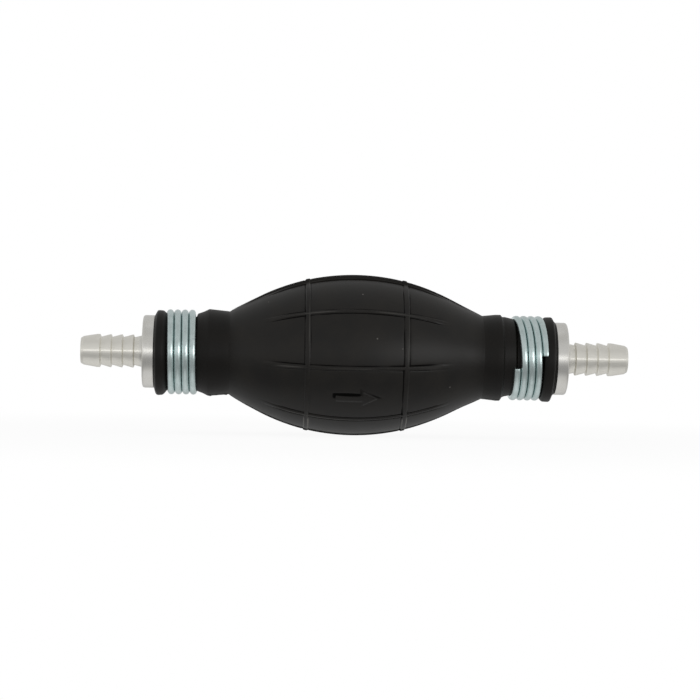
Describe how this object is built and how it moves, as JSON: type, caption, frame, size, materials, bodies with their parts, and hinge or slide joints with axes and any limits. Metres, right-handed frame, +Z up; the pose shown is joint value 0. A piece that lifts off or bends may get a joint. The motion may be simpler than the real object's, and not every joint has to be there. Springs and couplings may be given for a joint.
{
  "type": "siphon bulb pump",
  "caption": "Hand-squeezed rubber primer bulb with a one-way valve and a barbed aluminium hose fitting clamped in each end.",
  "frame": {"origin": "middle of the bulb, on the flow axis", "axes": "+X along the flow axis towards the outlet barb, +Y from the pictured front to the back, +Z up"},
  "size_m": [0.1568, 0.0464, 0.046],
  "materials": {
    "bulb_rubber": "moulded black nitrile rubber, satin with a dull bloom",
    "turned_aluminium": "lathe-turned, bare",
    "zinc_wire": "drawn steel wire, pale blue-green zinc plate",
    "valve_plastic": "natural acetal",
    "poppet_plastic": "black acetal",
    "seal_rubber": "black nitrile",
    "spring_steel": "bright stainless wire",
    "ring_steel": "oiled spring steel"
  },
  "bodies": {
    "root": {"bulb_body": "bulb_rubber", "inlet_fitting": "turned_aluminium", "outlet_fitting": "turned_aluminium", "inlet_clamp": "zinc_wire", "outlet_clamp": "zinc_wire", "inlet_valve_seat": "valve_plastic", "inlet_seat_o_ring": "seal_rubber", "inlet_valve_spring": "spring_steel", "inlet_valve_cage": "valve_plastic", "inlet_snap_ring": "ring_steel", "outlet_valve_seat": "valve_plastic", "outlet_seat_o_ring": "seal_rubber", "outlet_valve_spring": "spring_steel", "outlet_valve_cage": "valve_plastic", "outlet_snap_ring": "ring_steel"},
    "front_wall": {"bulb_front_wall": "bulb_rubber"},
    "back_wall": {"bulb_back_wall": "bulb_rubber"},
    "inlet_poppet": {"inlet_poppet": "poppet_plastic", "inlet_poppet_seal": "seal_rubber"},
    "outlet_poppet": {"outlet_poppet": "poppet_plastic", "outlet_poppet_seal": "seal_rubber"}
  },
  "joints": [
    {"name": "front_squeeze", "type": "slide", "parent": "root", "child": "front_wall", "axis": [0, 1, 0], "range_m": [0, 0.007], "stiffness_N_per_m": 1500},
    {"name": "back_squeeze", "type": "slide", "parent": "root", "child": "back_wall", "axis": [0, -1, 0], "range_m": [0, 0.007], "stiffness_N_per_m": 1500},
    {"name": "inlet_valve_lift", "type": "slide", "parent": "root", "child": "inlet_poppet", "axis": [1, 0, 0], "range_m": [0, 0.002], "stiffness_N_per_m": 60, "springref_m": -0.001, "deforming": ["inlet_valve_spring"]},
    {"name": "outlet_valve_lift", "type": "slide", "parent": "root", "child": "outlet_poppet", "axis": [1, 0, 0], "range_m": [0, 0.002], "stiffness_N_per_m": 60, "springref_m": -0.001, "deforming": ["outlet_valve_spring"]}
  ],
  "couplings": [
    {"joint": "back_squeeze", "follows": "front_squeeze", "ratio": 1}
  ]
}
